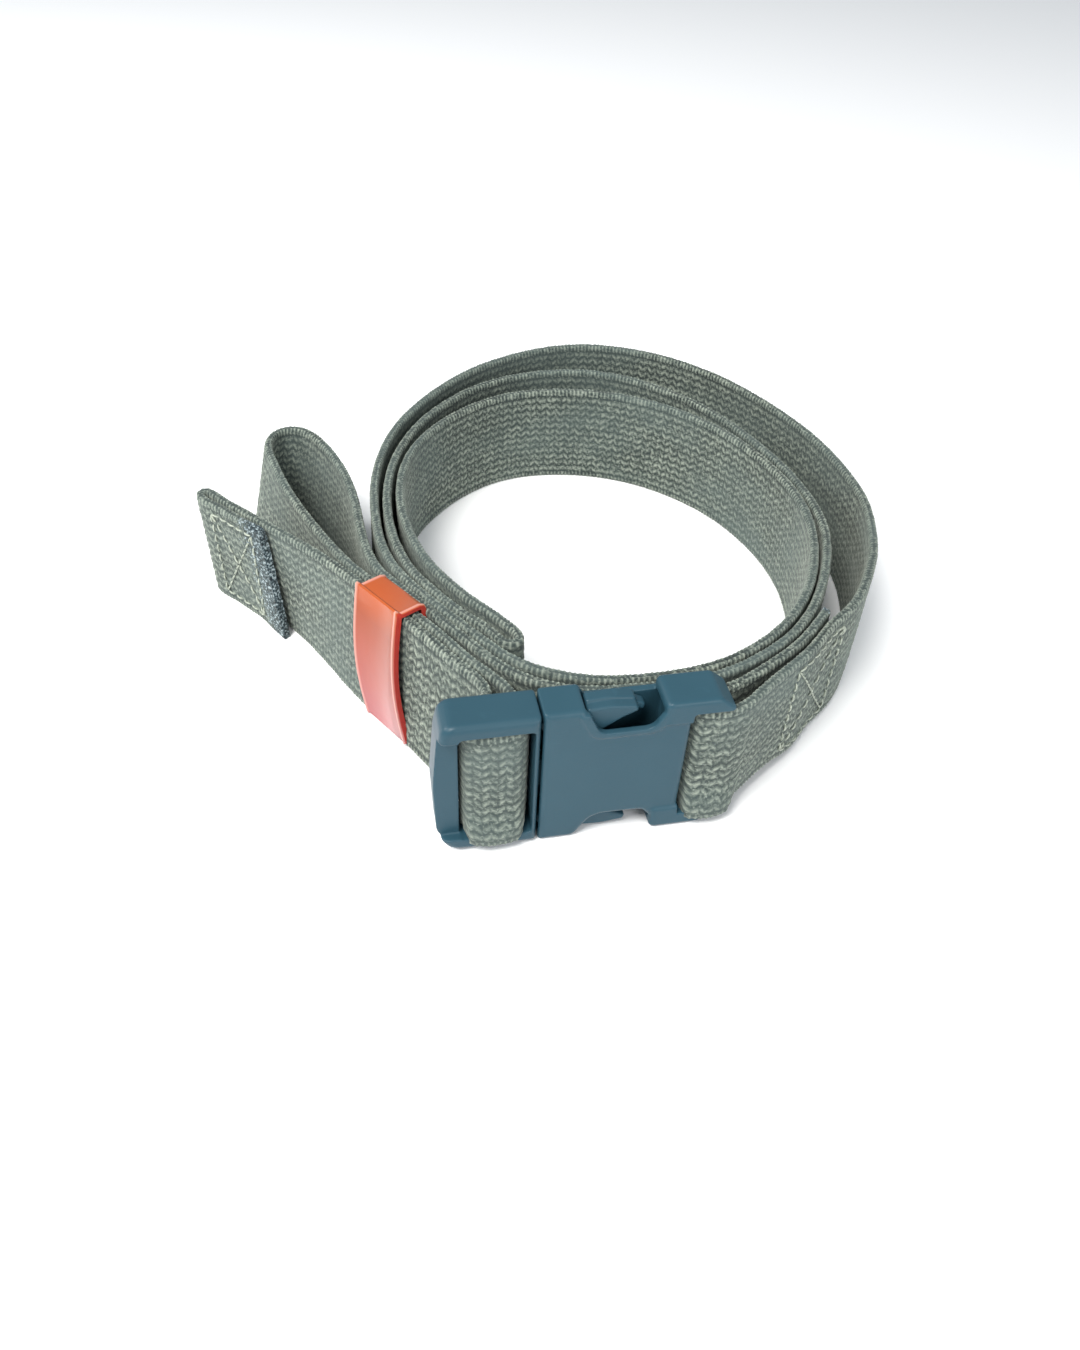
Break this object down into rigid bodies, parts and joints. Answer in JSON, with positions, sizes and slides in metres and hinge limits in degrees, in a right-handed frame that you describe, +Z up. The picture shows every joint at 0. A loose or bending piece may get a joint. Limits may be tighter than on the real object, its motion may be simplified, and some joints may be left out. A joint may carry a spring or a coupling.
{
  "type": "buckle tourniquet",
  "caption": "Venous tourniquet of olive webbing wound into a ring, with a side-release buckle, an orange keeper and a hemmed free tail.",
  "frame": {"origin": "middle of the object's box at the height of the surface that it stands on", "axes": "+Z up across the webbing's width; +X along the buckle from the latch half to the socket half; the buckle is at the front, at -Y"},
  "size_m": [0.148, 0.149, 0.032],
  "materials": {
    "webbing": "matte herringbone weave",
    "thread": "matte twisted thread",
    "socket_plastic": "satin moulded",
    "latch_plastic": "satin moulded",
    "keeper_plastic": "glossy"
  },
  "bodies": {
    "strap_and_latch": {"latch_base": "latch_plastic", "outer_turn": "webbing", "inner_front_run": "webbing", "inner_turn": "webbing", "inner_fold": "webbing", "return_turn": "webbing", "outer_front_run": "webbing", "slack_loop": "webbing", "standing_part": "webbing", "latch_bar_wrap": "webbing", "tail": "webbing", "hem_flap": "webbing", "hem_box_stitch": "thread"},
    "socket": {"female_socket": "socket_plastic", "rear_bar_wrap": "webbing", "sewn_end": "webbing", "sewn_strap": "webbing", "tab_box_stitch": "thread"},
    "upper_prong": {"upper_prong": "latch_plastic"},
    "lower_prong": {"lower_prong": "latch_plastic"},
    "keeper": {"keeper": "keeper_plastic"}
  },
  "joints": [
    {"name": "buckle_release", "type": "slide", "parent": "strap_and_latch", "child": "socket", "axis": [1, 0, 0], "range_m": [0, 0.024], "deforming": ["outer_turn", "upper_prong", "lower_prong"]},
    {"name": "upper_prong_flex", "type": "hinge", "parent": "strap_and_latch", "child": "upper_prong", "pos_m": [-0.01255, -0.0705, 0.0279], "axis": [0, 1, 0], "range_deg": [0, 12], "stiffness_Nm_per_rad": 0.3},
    {"name": "lower_prong_flex", "type": "hinge", "parent": "strap_and_latch", "child": "lower_prong", "pos_m": [-0.01255, -0.0705, 0.0041], "axis": [0, -1, 0], "range_deg": [0, 12], "stiffness_Nm_per_rad": 0.3},
    {"name": "keeper_slide", "type": "slide", "parent": "strap_and_latch", "child": "keeper", "axis": [0.503, -0.8623, 0.0593], "range_m": [-0.005, 0.0025]}
  ]
}
